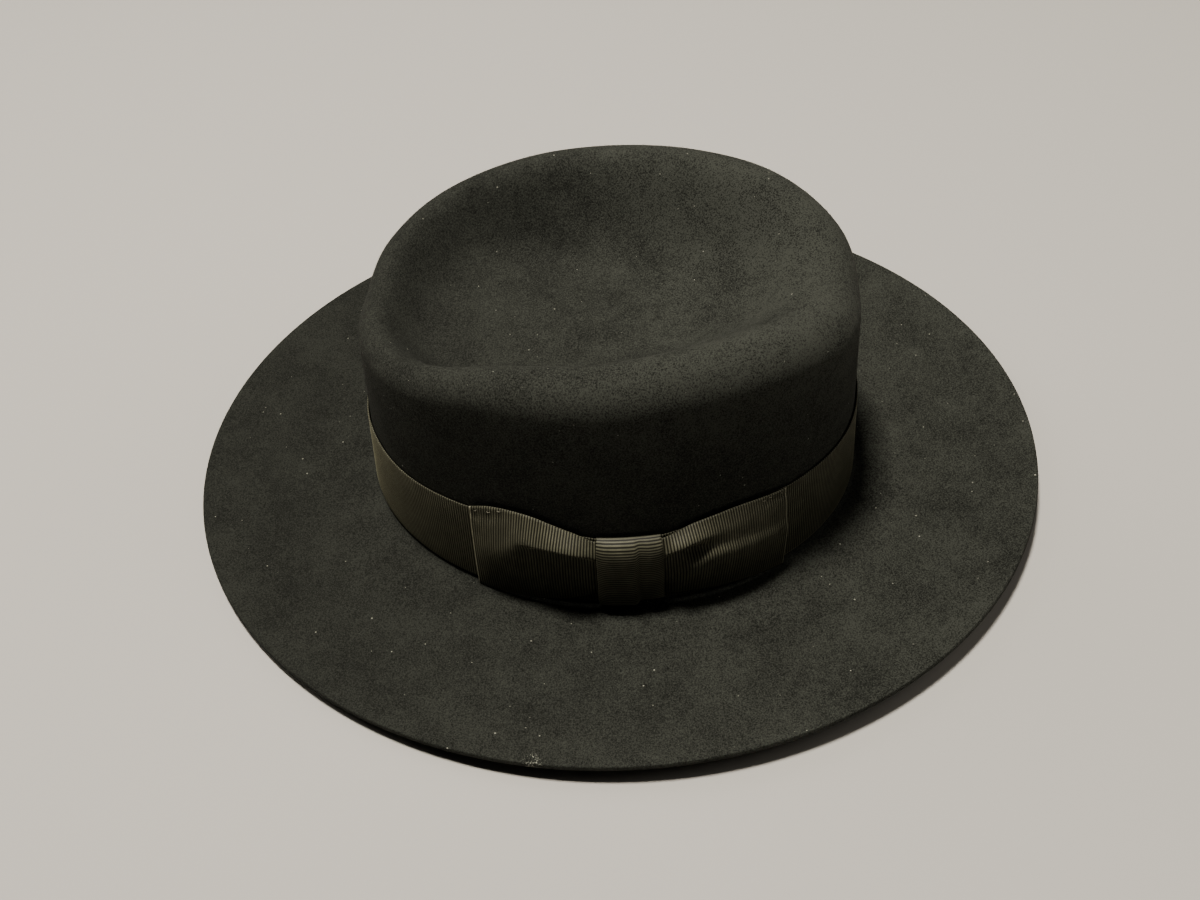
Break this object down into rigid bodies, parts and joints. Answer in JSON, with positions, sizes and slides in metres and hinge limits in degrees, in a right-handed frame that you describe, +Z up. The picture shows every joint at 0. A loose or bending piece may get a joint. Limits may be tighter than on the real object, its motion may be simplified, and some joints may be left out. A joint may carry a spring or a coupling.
{
  "type": "fur felt fedora",
  "caption": "Black fur felt fedora with a teardrop crown, a wide flat brim with a raw edge, a ribbed ribbon band and a flat side bow, resting on its brim.",
  "frame": {"origin": "on the resting plane under the middle of the brim, below the middle of the head opening", "axes": "+Z up through the crown, front of the hat toward -Y, the bow (wearer's left) toward +X"},
  "size_m": [0.3246, 0.3563, 0.1107],
  "materials": {
    "felt": "matte brushed fur felt with short fine fuzz",
    "ribbon": "ribbed grosgrain with a low soft sheen",
    "leather": "smooth semi-matte"
  },
  "bodies": {
    "root": {"felt_body": "felt", "ribbon_band": "ribbon", "bow": "ribbon", "bow_knot": "ribbon", "sweatband": "leather"}
  },
  "joints": []
}
